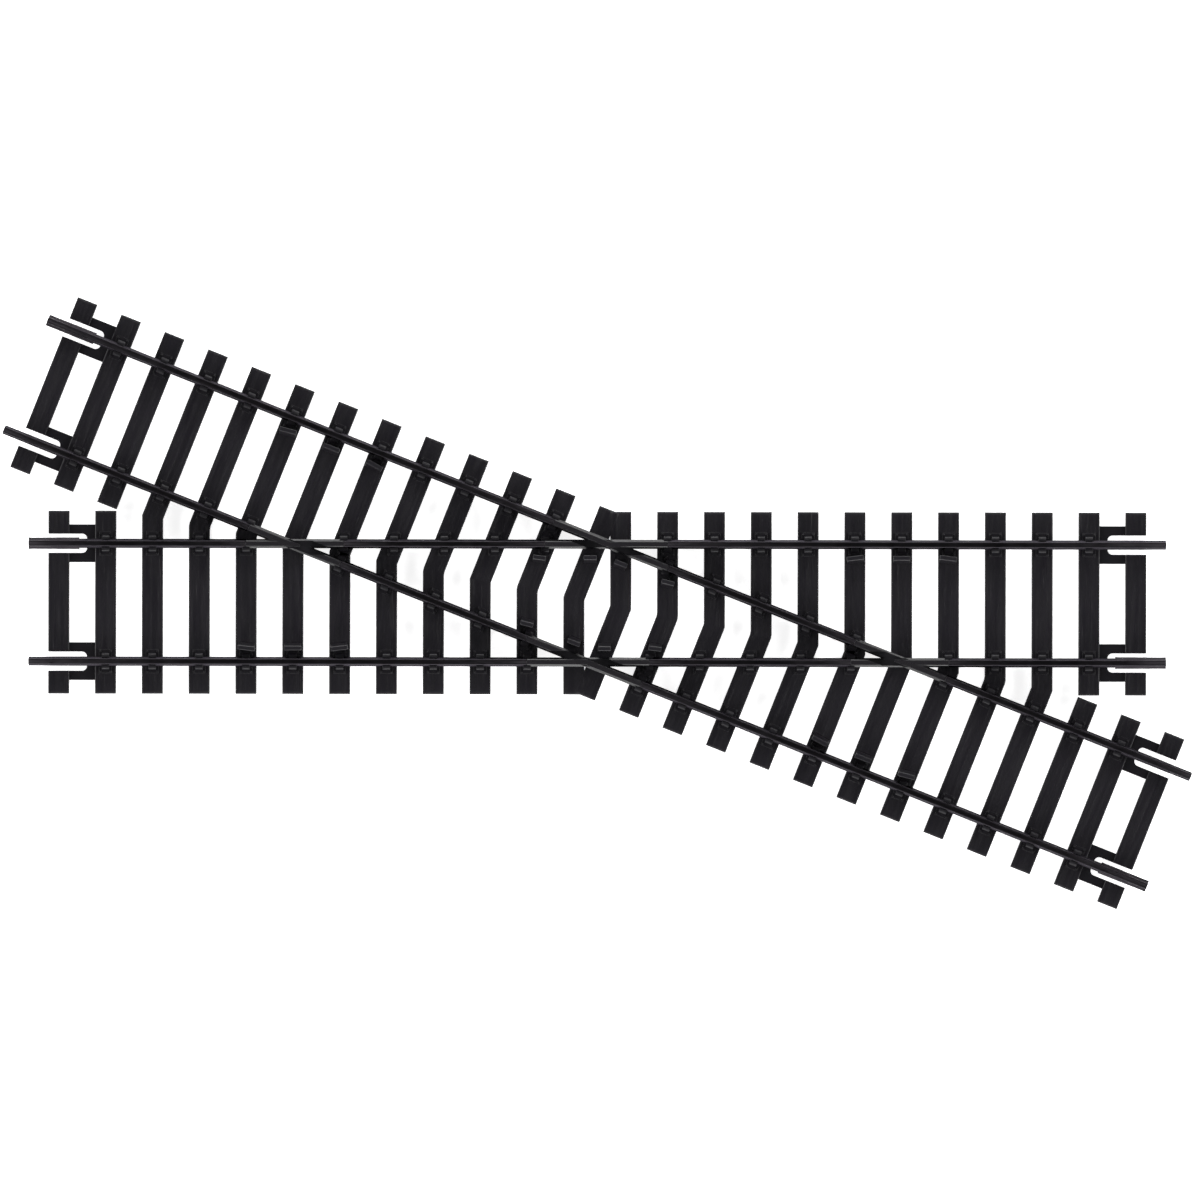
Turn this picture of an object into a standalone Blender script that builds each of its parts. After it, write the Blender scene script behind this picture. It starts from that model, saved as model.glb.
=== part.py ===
"""Fixed diamond crossing for 16.5 mm gauge model railway track.

Two tracks cross at one level. Every rail line is cut by one acute and one obtuse moulded frog into
three metal lengths. Frogs and rails stand on one moulded sleeper base, bonding wires under the base
carry current past the frogs, and a folded joiner slides on one rail at each of the four track ends.

The frame: origin at the crossing centre on the underside, +X along the main track, +Z up.
The cross track is the main track turned clockwise by the crossing angle, seen from above.
In each track's own frame u runs along the track and v across it.
The whole crossing looks the same after a half turn about Z.
"""
import math

import bmesh
import bpy
from mathutils import Matrix, Vector

MM = 0.001

# Track layout
CROSSING_ANGLE = math.radians(21.69)
GAUGE = 16.5 * MM
MAIN_LENGTH = 168.0 * MM
CROSS_LENGTH = 181.8 * MM
RAIL_GAP = 0.05 * MM
SEAT_GAP = 0.02 * MM

# Rail section, flat-bottomed
RAIL_HEIGHT = 2.5 * MM
HEAD_WIDTH = 0.91 * MM
HEAD_SIDE = 0.64 * MM
HEAD_CHAMFER = 0.12 * MM
WEB_WIDTH = 0.45 * MM
FOOT_WIDTH = 1.37 * MM
FOOT_EDGE = 0.20 * MM
FOOT_RISE = 0.42 * MM

# Sleepers
SLEEPER_PITCH = 6.917 * MM
SLEEPER_WIDTH = 3.11 * MM
SLEEPER_LENGTH = 27.04 * MM
SLEEPER_HEIGHT = 2.0 * MM
SLEEPER_WALL = 0.5 * MM
HOLLOW_DEPTH = 1.25 * MM
BENT_SLEEPERS = 10
MAIN_SLEEPERS = 12
CROSS_SLEEPERS = 13

# Webs under the rails that hold the sleepers together
TIE_WIDTH = 1.1 * MM
TIE_BOTTOM = 0.4 * MM
TIE_TOP = 1.5 * MM
WALL_BITE = 0.4 * MM

# End frames with a joiner pocket round each rail
FRAME_HEIGHT = 1.5 * MM
FRAME_HALF_WIDTH = 2.79 * MM
POCKET_WIDTH = 2.82 * MM
POCKET_BACK = 2.61 * MM
POCKET_CORNER = 0.72 * MM

# Rail clips on every sleeper
CLIP_LENGTH = 1.6 * MM
CLIP_REACH = 1.30 * MM
CLIP_LIP = 0.50 * MM
CLIP_TOP = 2.50 * MM
CLIP_ROOM = 1.6 * MM

# Flangeways and guard blocks
FLANGEWAY = 1.2 * MM
FLANGE_DEPTH = 1.2 * MM
GUARD_WIDTH = 0.7 * MM
GUARD_LENGTH = 2.5 * MM
GUARD_SKEW_LENGTH = 1.9 * MM
GUARD_FLARE = math.radians(7.0)

# Frogs
NOSE_BLUNT = 0.9 * MM
PEG_RADIUS = 0.30 * MM
PEG_DEPTH = 0.50 * MM
PEG_CLEARANCE = 0.03 * MM
ACUTE_PEG_OFFSET = 1.0 * MM
OBTUSE_PEG_OFFSET = 1.9 * MM

# Bonding wires
WIRE_RADIUS = 0.2 * MM
WIRE_BEND = 0.35 * MM
MAIN_WIRE_Z = 1.05 * MM
CROSS_WIRE_Z = 0.45 * MM
GROOVE_WIDTH = 0.56 * MM
GROOVE_CLEARANCE = 0.05 * MM
RISER_SLOT_LENGTH = 2.4 * MM

# Rail joiners
JOINER_LENGTH = 7.5 * MM
JOINER_WALL = 0.15 * MM
JOINER_CLEARANCE = 0.02 * MM
JOINER_LIP = 0.33 * MM

RAIL_OFFSET = (GAUGE + HEAD_WIDTH) / 2
RAIL_BOTTOM = SLEEPER_HEIGHT + SEAT_GAP
RAIL_TOP = RAIL_BOTTOM + RAIL_HEIGHT
FLOOR_Z = RAIL_TOP - FLANGE_DEPTH
HALF_ANGLE = CROSSING_ANGLE / 2
ACUTE_DISTANCE = RAIL_OFFSET / math.tan(HALF_ANGLE)
OBTUSE_DISTANCE = RAIL_OFFSET * math.tan(HALF_ANGLE)
TRACKS = {"main": 0.0, "cross": -CROSSING_ANGLE}
HALF_LENGTHS = {"main": MAIN_LENGTH / 2, "cross": CROSS_LENGTH / 2}
SIDES = {"north": 1, "south": -1}
WIRE_Z = {"main": MAIN_WIRE_Z, "cross": CROSS_WIRE_Z}
CLEAR = 0.5 * MM
SHAVE = 0.02 * MM


def clear_scene():
    for obj in list(bpy.data.objects):
        bpy.data.objects.remove(obj)


def make_collection(name, helper=False):
    collection = bpy.data.collections.new(name)
    collection.hide_render = helper
    bpy.context.scene.collection.children.link(collection)
    return collection


def make_material(name, colour, metallic, roughness):
    material = bpy.data.materials.new(name)
    material.use_nodes = True
    shader = material.node_tree.nodes["Principled BSDF"]
    shader.inputs["Base Color"].default_value = (*colour, 1.0)
    shader.inputs["Metallic"].default_value = metallic
    shader.inputs["Roughness"].default_value = roughness
    return material


def add_prism(bm, outline, bottom, top):
    """A straight-sided block over a plan outline."""
    verts = [bm.verts.new((x, y, bottom)) for x, y in outline]
    face = bm.faces.new(verts)
    grown = bmesh.ops.extrude_face_region(bm, geom=[face])
    raised = [item for item in grown["geom"] if isinstance(item, bmesh.types.BMVert)]
    bmesh.ops.translate(bm, verts=raised, vec=(0, 0, top - bottom))
    return verts + raised


def add_trough(bm, outline, recess, top, roof):
    """A block over a plan outline, with a recess of as many corners let into its underside."""
    rims = []
    for corners, z in ((outline, top), (outline, 0), (recess, 0), (recess, roof)):
        rims.append([bm.verts.new((x, y, z)) for x, y in corners])
    bm.faces.new(rims[0])
    bm.faces.new(rims[-1])
    for upper, lower in zip(rims, rims[1:]):
        for index in range(len(upper)):
            bm.faces.new((upper[index - 1], upper[index], lower[index], lower[index - 1]))


def add_bar(bm, profile, start, end, offset=0.0):
    """A profile drawn in v and z, run along u from start to end at the offset across the track."""
    verts = [bm.verts.new((start, offset + v, z)) for v, z in profile]
    face = bm.faces.new(verts)
    grown = bmesh.ops.extrude_face_region(bm, geom=[face])
    moved = [item for item in grown["geom"] if isinstance(item, bmesh.types.BMVert)]
    bmesh.ops.translate(bm, verts=moved, vec=(end - start, 0, 0))
    return verts + moved


def add_box(bm, u_range, v_range, z_range):
    """A box between three pairs of limits."""
    size = [high - low for low, high in (u_range, v_range, z_range)]
    middle = [(high + low) / 2 for low, high in (u_range, v_range, z_range)]
    placed = Matrix.Translation(middle) @ Matrix.Diagonal((*size, 1))
    return bmesh.ops.create_cube(bm, size=1.0, matrix=placed)["verts"]


def turn(bm, verts, angle, centre=(0, 0, 0)):
    bmesh.ops.rotate(bm, verts=verts, cent=centre, matrix=Matrix.Rotation(angle, 3, "Z"))


def finish(bm, name, collection, material=None, origin=(0, 0, 0)):
    """Close a bmesh into a named object with its origin at the given point."""
    bmesh.ops.recalc_face_normals(bm, faces=bm.faces)
    bmesh.ops.translate(bm, verts=bm.verts, vec=-Vector(origin))
    mesh = bpy.data.meshes.new(name)
    bm.to_mesh(mesh)
    bm.free()
    obj = bpy.data.objects.new(name, mesh)
    obj.location = origin
    collection.objects.link(obj)
    if material:
        mesh.materials.append(material)
    if collection.hide_render:
        obj.hide_render = True
        obj.display_type = "WIRE"
    return obj


def combine(obj, operation, collection):
    modifier = obj.modifiers.new(operation.title(), "BOOLEAN")
    modifier.operation = operation
    modifier.operand_type = "COLLECTION"
    modifier.collection = collection
    modifier.solver = "EXACT"


def mirrored(half):
    """A full profile from its right half, listed from the bottom up."""
    return half + [(-v, z) for v, z in reversed(half)]


def at_height(half, bottom):
    return [(v, z + bottom) for v, z in half]


def to_plan(track, u, v):
    """Plan position of a point given in a track's own frame."""
    return Matrix.Rotation(TRACKS[track], 2) @ Vector((u, v))


def rail_profile():
    """Foot, web and head of the metal rail."""
    web_top = RAIL_HEIGHT - HEAD_CHAMFER - HEAD_SIDE
    half = [
        (FOOT_WIDTH / 2, 0),
        (FOOT_WIDTH / 2, FOOT_EDGE),
        (WEB_WIDTH / 2, FOOT_RISE),
        (WEB_WIDTH / 2, web_top),
        (HEAD_WIDTH / 2, web_top + 0.15 * MM),
        (HEAD_WIDTH / 2, RAIL_HEIGHT - HEAD_CHAMFER),
        (HEAD_WIDTH / 2 - HEAD_CHAMFER, RAIL_HEIGHT),
    ]
    return mirrored(at_height(half, RAIL_BOTTOM))


def frog_profile():
    """The moulded arm that carries a rail line on: the rail's foot under a full-width head."""
    shoulder = FOOT_EDGE + (FOOT_WIDTH - HEAD_WIDTH) / 2 * (FOOT_RISE - FOOT_EDGE) / (
        (FOOT_WIDTH - WEB_WIDTH) / 2
    )
    half = [
        (FOOT_WIDTH / 2, 0),
        (FOOT_WIDTH / 2, FOOT_EDGE),
        (HEAD_WIDTH / 2, shoulder),
        (HEAD_WIDTH / 2, RAIL_HEIGHT - HEAD_CHAMFER),
        (HEAD_WIDTH / 2 - HEAD_CHAMFER, RAIL_HEIGHT),
    ]
    return mirrored(at_height(half, RAIL_BOTTOM))


def joiner_profile():
    """A channel folded round the rail foot, with lips that follow the slope of the foot."""
    slope = (FOOT_RISE - FOOT_EDGE) / ((FOOT_WIDTH - WEB_WIDTH) / 2)
    inner = FOOT_WIDTH / 2 + JOINER_CLEARANCE
    outer = inner + JOINER_WALL
    lip_gap = 1.5 * JOINER_CLEARANCE
    lip_under = FOOT_EDGE + slope * (FOOT_WIDTH / 2 - JOINER_LIP) + lip_gap
    half = [
        (outer, -JOINER_CLEARANCE - JOINER_WALL),
        (outer, FOOT_EDGE + lip_gap + 0.1 * MM),
        (JOINER_LIP, lip_under + 1.1 * JOINER_WALL),
        (JOINER_LIP, lip_under),
        (inner, FOOT_EDGE + lip_gap),
        (inner, -JOINER_CLEARANCE),
    ]
    return mirrored(at_height(half, RAIL_BOTTOM))


def clip_profile(side):
    """A clip beside the rail foot with a lip over it, on the given side of the rail."""
    foot_face = FOOT_WIDTH / 2 + 0.035 * MM
    points = [
        (foot_face, SLEEPER_HEIGHT - 0.3 * MM),
        (CLIP_REACH, SLEEPER_HEIGHT - 0.3 * MM),
        (CLIP_REACH - 0.25 * MM, CLIP_TOP),
        (CLIP_LIP, CLIP_TOP),
        (CLIP_LIP, RAIL_BOTTOM + FOOT_EDGE + 0.12 * MM),
        (foot_face, RAIL_BOTTOM + FOOT_EDGE + 0.02 * MM),
    ]
    return [(side * v, z) for v, z in points]


def seats(track, side):
    """Where a rail line crosses the middle of each sleeper, along that track, in order."""
    across = side if track == "main" else -side
    count = MAIN_SLEEPERS if track == "main" else CROSS_SLEEPERS
    places = []
    for index in range(count):
        distance = (index + 0.5) * SLEEPER_PITCH
        places.append(across * distance)
        slanted = -distance / math.cos(CROSSING_ANGLE) + RAIL_OFFSET * math.tan(CROSSING_ANGLE)
        leaning = distance * math.tan(HALF_ANGLE) < RAIL_OFFSET and index < BENT_SLEEPERS
        places.append(across * (slanted if leaning else -distance))
    return sorted(places)


def acute_u(track, side):
    """Where a rail line meets its acute frog, along its own track."""
    return -ACUTE_DISTANCE * side if track == "main" else ACUTE_DISTANCE * side


def obtuse_u(track, side):
    """Where a rail line meets its obtuse frog, along its own track."""
    return OBTUSE_DISTANCE * side if track == "main" else -OBTUSE_DISTANCE * side


def frog_ends(track, side, kind):
    """Start and end of a frog's arms along one rail line, each over the middle of a sleeper."""
    places = seats(track, side)
    if kind == "acute":
        vertex = acute_u(track, side)
        middle = min(range(len(places)), key=lambda index: abs(places[index] - vertex))
        return places[middle - 1], places[middle + 1]
    vertex = obtuse_u(track, side)
    after = min(index for index, place in enumerate(places) if place > vertex)
    return places[after - 2], places[after + 1]


def riser_u(track, side, kind):
    """Where a bonding wire rises to the metal rails on either side of a frog.

    At an obtuse frog the far riser stands one sleeper further out, so that two of the four webs stay
    whole in every space between sleepers.
    """
    places = seats(track, side)
    start, end = frog_ends(track, side, kind)
    before = places.index(start)
    after = places.index(end)
    if kind == "obtuse" and obtuse_u(track, side) > 0:
        after += 1
    if kind == "obtuse" and obtuse_u(track, side) < 0:
        before -= 1
    return (places[before] + places[before - 1]) / 2, (places[after] + places[after + 1]) / 2


def bent_sleeper(index, inset=0.0):
    """Plan outline of a sleeper square to the main track below the bend and to the cross above it."""
    near = (index + 0.5) * SLEEPER_PITCH - SLEEPER_WIDTH / 2 + inset
    far = near + SLEEPER_WIDTH - 2 * inset
    end = SLEEPER_LENGTH / 2 - inset
    return [
        (-far, -end),
        (-near, -end),
        (-near, near * math.tan(HALF_ANGLE)),
        to_plan("cross", -near, end),
        to_plan("cross", -far, end),
        (-far, far * math.tan(HALF_ANGLE)),
    ]


def straight_sleeper(track, index, inset=0.0):
    near = (index + 0.5) * SLEEPER_PITCH - SLEEPER_WIDTH / 2 + inset
    far = near + SLEEPER_WIDTH - 2 * inset
    end = SLEEPER_LENGTH / 2 - inset
    corners = [(-far, -end), (-near, -end), (-near, end), (-far, end)]
    return [to_plan(track, u, v) for u, v in corners]


def sleepers_mesh(half_turn):
    """All the sleepers of one half of the crossing, hollow underneath but for the last of each track."""
    bm = bmesh.new()
    for index in range(BENT_SLEEPERS):
        add_trough(bm, bent_sleeper(index), bent_sleeper(index, SLEEPER_WALL), SLEEPER_HEIGHT, HOLLOW_DEPTH)
    for track, count in (("main", MAIN_SLEEPERS), ("cross", CROSS_SLEEPERS)):
        for index in range(BENT_SLEEPERS, count - 1):
            recess = straight_sleeper(track, index, SLEEPER_WALL)
            add_trough(bm, straight_sleeper(track, index), recess, SLEEPER_HEIGHT, HOLLOW_DEPTH)
        add_prism(bm, straight_sleeper(track, count - 1), 0, SLEEPER_HEIGHT)
    if half_turn:
        turn(bm, bm.verts[:], math.pi)
    return bm


def last_sleeper(track):
    count = MAIN_SLEEPERS if track == "main" else CROSS_SLEEPERS
    return (count - 0.5) * SLEEPER_PITCH


def hollows_mesh(track):
    """The three hollows under each of a track's two last sleepers, clear of the joiner pockets."""
    bm = bmesh.new()
    near = last_sleeper(track) - SLEEPER_WIDTH / 2 + SLEEPER_WALL
    far = near + SLEEPER_WIDTH - 2 * SLEEPER_WALL
    end = SLEEPER_LENGTH / 2 - SLEEPER_WALL
    inner = RAIL_OFFSET - POCKET_WIDTH / 2 - SLEEPER_WALL
    outer = RAIL_OFFSET + POCKET_WIDTH / 2 + SLEEPER_WALL
    for v_range in ((-end, -outer), (-inner, inner), (outer, end)):
        add_box(bm, (near, far), v_range, (-CLEAR, HOLLOW_DEPTH))
        add_box(bm, (-far, -near), v_range, (-CLEAR, HOLLOW_DEPTH))
    turn(bm, bm.verts[:], TRACKS[track])
    return bm


def ties_mesh(track):
    """The pair of webs that run under a track's rails between its end frames."""
    bm = bmesh.new()
    reach = last_sleeper(track) - SLEEPER_PITCH - SLEEPER_WIDTH / 2 + WALL_BITE
    for side in SIDES.values():
        middle = side * RAIL_OFFSET
        v_range = (middle - TIE_WIDTH / 2, middle + TIE_WIDTH / 2)
        add_box(bm, (-reach, reach), v_range, (TIE_BOTTOM, TIE_TOP))
    turn(bm, bm.verts[:], TRACKS[track])
    return bm


def frames_mesh(track):
    """Blocks that join the last two sleepers round each rail, at both ends of a track."""
    bm = bmesh.new()
    outer = last_sleeper(track) - SLEEPER_WIDTH / 2 + WALL_BITE
    inner = outer - SLEEPER_PITCH + SLEEPER_WIDTH - 2 * WALL_BITE
    for side in SIDES.values():
        middle = side * RAIL_OFFSET
        v_range = (middle - FRAME_HALF_WIDTH, middle + FRAME_HALF_WIDTH)
        add_box(bm, (inner, outer), v_range, (0, FRAME_HEIGHT))
        add_box(bm, (-outer, -inner), v_range, (0, FRAME_HEIGHT))
    turn(bm, bm.verts[:], TRACKS[track])
    return bm


def pocket_outline(track, side):
    """Plan outline of a joiner pocket: open at the track end, with two round inner corners."""
    outer = last_sleeper(track) + SLEEPER_WIDTH
    back = last_sleeper(track) - SLEEPER_WIDTH / 2 - POCKET_BACK
    half = POCKET_WIDTH / 2
    middle = side * RAIL_OFFSET
    corner = back + POCKET_CORNER
    points = [(outer, middle - half), (outer, middle + half)]
    for sign in (1, -1):
        steps = range(5) if sign > 0 else range(4, -1, -1)
        for step in steps:
            angle = math.radians(90 * step / 4)
            u = corner - POCKET_CORNER * math.sin(angle)
            v = middle + sign * (half - POCKET_CORNER + POCKET_CORNER * math.cos(angle))
            points.append((u, v))
    return points


def pockets_mesh(track):
    bm = bmesh.new()
    for side in SIDES.values():
        for flip in (1, -1):
            outline = [(flip * u, flip * v) for u, v in pocket_outline(track, side)]
            add_prism(bm, outline, -CLEAR, SLEEPER_HEIGHT + CLEAR)
    turn(bm, bm.verts[:], TRACKS[track])
    return bm


def line_distance(track, side, point):
    """Distance in plan from a point to the middle of a rail line."""
    local = Matrix.Rotation(-TRACKS[track], 2) @ Vector(point)
    return abs(local.y - side * RAIL_OFFSET)


def clear_of_other_lines(track, side, point):
    others = [(other, line) for other in TRACKS for line in SIDES.values()]
    others.remove((track, side))
    return all(line_distance(other, line, point) > CLIP_ROOM for other, line in others)


def clips_mesh(track, side):
    """Both clips of a rail line on every sleeper but the two end ones, which have the pockets."""
    bm = bmesh.new()
    for place in seats(track, side)[1:-1]:
        for hand in (1, -1):
            middle = side * RAIL_OFFSET + hand * (CLIP_REACH + CLIP_LIP) / 2
            if clear_of_other_lines(track, side, to_plan(track, place, middle)):
                ends = (place - CLIP_LENGTH / 2, place + CLIP_LENGTH / 2)
                add_bar(bm, clip_profile(hand), *ends, side * RAIL_OFFSET)
    turn(bm, bm.verts[:], TRACKS[track])
    return bm


def add_guard(bm, track, u, side, length, flare=0.0):
    """One guard block a flangeway inside a running face."""
    face = side * (GAUGE / 2 - FLANGEWAY)
    middle = face - side * GUARD_WIDTH / 2
    half_width = GUARD_WIDTH / 2
    u_range = (u - length / 2, u + length / 2)
    v_range = (middle - half_width, middle + half_width)
    verts = add_box(bm, u_range, v_range, (SLEEPER_HEIGHT - 0.3 * MM, RAIL_TOP))
    turn(bm, verts, flare, (u, middle, 0))
    turn(bm, verts, TRACKS[track])
    return verts


def guards_mesh():
    """Guard blocks opposite each acute frog and inside each obtuse frog, one block per sleeper."""
    bm = bmesh.new()
    for track in TRACKS:
        for side in SIDES.values():
            frog = acute_u(track, side)
            guarded = seats(track, -side)
            index = guarded.index(min(guarded, key=lambda place: abs(place - frog)))
            for step in (-1, 0, 1):
                flare = -step * side * GUARD_FLARE
                add_guard(bm, track, guarded[index + step], -side, GUARD_LENGTH, -flare)
    for side in SIDES.values():
        for track in TRACKS:
            leaning = -side if track == "main" else side
            tilt = math.tan(CROSSING_ANGLE) * (FLANGEWAY + GUARD_WIDTH / 2 + HEAD_WIDTH / 2)
            inner = sorted(
                (place for place in seats(track, side) if place * leaning > obtuse_u(track, side) * leaning),
                key=abs,
            )
            for step, place in enumerate(inner[:2]):
                shift = leaning * tilt
                flare = leaning * side * GUARD_FLARE * step
                add_guard(bm, track, place + shift, side, GUARD_SKEW_LENGTH, flare)
    return bm


def frog_centre(kind, sign):
    """Plan position of a frog: acute frogs on the long diagonal, obtuse ones on the short."""
    if kind == "acute":
        return sign * to_plan("main", -ACUTE_DISTANCE, RAIL_OFFSET)
    return sign * to_plan("main", OBTUSE_DISTANCE, RAIL_OFFSET)


def peg_places(kind, sign):
    offset = ACUTE_PEG_OFFSET if kind == "acute" else OBTUSE_PEG_OFFSET
    along = Vector((math.cos(HALF_ANGLE), -math.sin(HALF_ANGLE))) * offset
    centre = frog_centre(kind, sign)
    return centre + along, centre - along


def add_peg(bm, place, radius, bottom, top):
    placed = Matrix.Translation((place.x, place.y, (bottom + top) / 2))
    return bmesh.ops.create_cone(
        bm, cap_ends=True, segments=12, radius1=radius, radius2=radius, depth=top - bottom, matrix=placed
    )["verts"]


def peg_holes_mesh():
    bm = bmesh.new()
    bottom = SLEEPER_HEIGHT - PEG_DEPTH - PEG_CLEARANCE
    for kind in ("acute", "obtuse"):
        for sign in (1, -1):
            for place in peg_places(kind, sign):
                add_peg(bm, place, PEG_RADIUS + PEG_CLEARANCE, bottom, SLEEPER_HEIGHT + CLEAR)
    return bm


def grooves_mesh(track):
    """Grooves under the base for one track's wires, deep enough for the wire's own level."""
    bm = bmesh.new()
    top = WIRE_Z[track] + WIRE_RADIUS + GROOVE_CLEARANCE
    for side in SIDES.values():
        middle = side * RAIL_OFFSET
        v_range = (middle - GROOVE_WIDTH / 2, middle + GROOVE_WIDTH / 2)
        for kind in ("acute", "obtuse"):
            add_box(bm, riser_u(track, side, kind), v_range, (-CLEAR, top))
    turn(bm, bm.verts[:], TRACKS[track])
    return bm


def riser_slots_mesh(track):
    """Openings through the webs where wires rise between two sleepers to reach the rail foot."""
    bm = bmesh.new()
    for side in SIDES.values():
        middle = side * RAIL_OFFSET
        v_range = (middle - TIE_WIDTH / 2 - 0.1 * MM, middle + TIE_WIDTH / 2 + 0.1 * MM)
        for kind in ("acute", "obtuse"):
            for place in riser_u(track, side, kind):
                u_range = (place - RISER_SLOT_LENGTH / 2, place + RISER_SLOT_LENGTH / 2)
                add_box(bm, u_range, v_range, (-CLEAR, SLEEPER_HEIGHT + CLEAR))
    turn(bm, bm.verts[:], TRACKS[track])
    return bm


def make_base(part, material):
    """The moulded base: hollow sleepers joined by webs and end frames, with clips and guard blocks."""
    blocks = make_collection("base_blocks", helper=True)
    cutters = make_collection("base_cutters", helper=True)
    base = finish(sleepers_mesh(False), "sleeper_base", part, material)
    finish(sleepers_mesh(True), "block_east_sleepers", blocks)
    finish(guards_mesh(), "block_guards", blocks)
    finish(peg_holes_mesh(), "cut_peg_holes", cutters)
    for track in TRACKS:
        finish(ties_mesh(track), f"block_{track}_ties", blocks)
        finish(frames_mesh(track), f"block_{track}_frames", blocks)
        finish(pockets_mesh(track), f"cut_{track}_pockets", cutters)
        finish(hollows_mesh(track), f"cut_{track}_hollows", cutters)
        finish(grooves_mesh(track), f"cut_{track}_grooves", cutters)
        finish(riser_slots_mesh(track), f"cut_{track}_riser_slots", cutters)
        for name, side in SIDES.items():
            finish(clips_mesh(track, side), f"block_{track}_{name}_clips", blocks)
    combine(base, "UNION", blocks)
    combine(base, "DIFFERENCE", cutters)
    return base


def make_rails(part, material):
    """Three metal lengths on each of the four rail lines."""
    for track, angle in TRACKS.items():
        half = HALF_LENGTHS[track]
        for name, side in SIDES.items():
            cuts = sorted(frog_ends(track, side, kind) for kind in ("acute", "obtuse"))
            (first, second), (third, fourth) = cuts
            spans = [(-half, first), (second, third), (fourth, half)]
            spans.sort(key=lambda span: span[1] - span[0])
            middle = (second, third)
            outer = [span for span in spans if span != middle]
            labels = {"short": outer[0], "middle": middle, "long": outer[1]}
            for label, (start, end) in labels.items():
                start += RAIL_GAP if start != -half else 0
                end -= RAIL_GAP if end != half else 0
                bm = bmesh.new()
                add_bar(bm, rail_profile(), start, end, side * RAIL_OFFSET)
                turn(bm, bm.verts[:], angle)
                finish(bm, f"rail_{track}_{name}_{label}", part, material)


def flangeway_outline(track, side, reach):
    """Plan outline of the clear way inside one running face, which it shaves clean."""
    face = side * (GAUGE / 2 + SHAVE)
    inner = side * (GAUGE / 2 - FLANGEWAY)
    corners = [(-reach, inner), (reach, inner), (reach, face), (-reach, face)]
    return [to_plan(track, u, v) for u, v in corners]


def core_outline(kind, sign):
    """Plan outline of the long rhombus where the two rail lines of a frog overlap."""
    half_width = FOOT_WIDTH / 2 - SHAVE
    along = Vector((math.cos(HALF_ANGLE), -math.sin(HALF_ANGLE))) * half_width / math.sin(HALF_ANGLE)
    across = Vector((math.sin(HALF_ANGLE), math.cos(HALF_ANGLE))) * half_width / math.cos(HALF_ANGLE)
    centre = frog_centre(kind, sign)
    return [centre + along, centre + across, centre - along, centre - across]


def frog_lines(kind, sign):
    """The two rail lines that meet at a frog, as track and side."""
    if kind == "acute":
        return [("main", sign), ("cross", -sign)]
    return [("main", sign), ("cross", sign)]


def make_frog(part, name, kind, sign, material):
    """One moulded frog: two crossing arms and a core, with flangeways cut down to the floor."""
    blocks = make_collection(f"{name}_blocks", helper=True)
    cutters = make_collection(f"{name}_cutters", helper=True)
    frog = None
    for track, side in frog_lines(kind, sign):
        bm = bmesh.new()
        start, end = frog_ends(track, side, kind)
        add_bar(bm, frog_profile(), start, end, side * RAIL_OFFSET)
        turn(bm, bm.verts[:], TRACKS[track])
        if frog is None:
            frog = finish(bm, name, part, material)
        else:
            finish(bm, f"block_{name}_arm", blocks)
        bm = bmesh.new()
        add_prism(bm, flangeway_outline(track, side, MAIN_LENGTH), FLOOR_Z, RAIL_TOP + CLEAR)
        finish(bm, f"cut_{name}_{track}_flangeway", cutters)
    bm = bmesh.new()
    add_prism(bm, core_outline(kind, sign), RAIL_BOTTOM + SHAVE, RAIL_TOP - SHAVE)
    finish(bm, f"block_{name}_core", blocks)
    bm = bmesh.new()
    for place in peg_places(kind, sign):
        add_peg(bm, place, PEG_RADIUS, SLEEPER_HEIGHT - PEG_DEPTH, RAIL_BOTTOM + 0.3 * MM)
    finish(bm, f"block_{name}_pegs", blocks)
    if kind == "acute":
        bm = bmesh.new()
        tip = GAUGE / 2 / math.sin(HALF_ANGLE)
        limits = (-tip - NOSE_BLUNT, -tip + NOSE_BLUNT)
        verts = add_box(bm, limits, (-GUARD_WIDTH / 2, GUARD_WIDTH / 2), (FLOOR_Z, RAIL_TOP + CLEAR))
        turn(bm, verts, -HALF_ANGLE if sign > 0 else math.pi - HALF_ANGLE)
        finish(bm, f"cut_{name}_nose", cutters)
    combine(frog, "UNION", blocks)
    combine(frog, "DIFFERENCE", cutters)
    return frog


def wire_path(start, end, run_z, top_z):
    """Points of a wire that drops from one rail foot, runs under the base and rises to the next."""
    points = [(start, top_z)]
    for corner, sign in ((start, 1), (end, -1)):
        arc = []
        for step in range(4):
            angle = math.radians(30 * step)
            u = corner + sign * WIRE_BEND * (1 - math.cos(angle))
            z = run_z + WIRE_BEND * (1 - math.sin(angle))
            arc.append((u, z))
        points += arc if sign > 0 else arc[::-1]
    points.append((end, top_z))
    return points


def make_wire(part, name, track, side, kind, material):
    """A bonding wire past one frog, made from a round curve and welded shut at its ends."""
    start, end = riser_u(track, side, kind)
    curve = bpy.data.curves.new(name + "_path", "CURVE")
    curve.dimensions = "3D"
    curve.bevel_depth = WIRE_RADIUS
    curve.bevel_resolution = 1
    curve.use_fill_caps = True
    points = wire_path(start, end, WIRE_Z[track], RAIL_BOTTOM - SEAT_GAP)
    spline = curve.splines.new("POLY")
    spline.points.add(len(points) - 1)
    for point, (u, z) in zip(spline.points, points):
        x, y = to_plan(track, u, side * RAIL_OFFSET)
        point.co = (x, y, z, 1)
    sketch = bpy.data.objects.new(name + "_path", curve)
    bm = bmesh.new()
    bm.from_mesh(bpy.data.meshes.new_from_object(sketch))
    bpy.data.objects.remove(sketch)
    bmesh.ops.remove_doubles(bm, verts=bm.verts, dist=1e-7)
    for face in bm.faces:
        face.smooth = len(face.verts) == 4
    return finish(bm, name, part, material)


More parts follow.
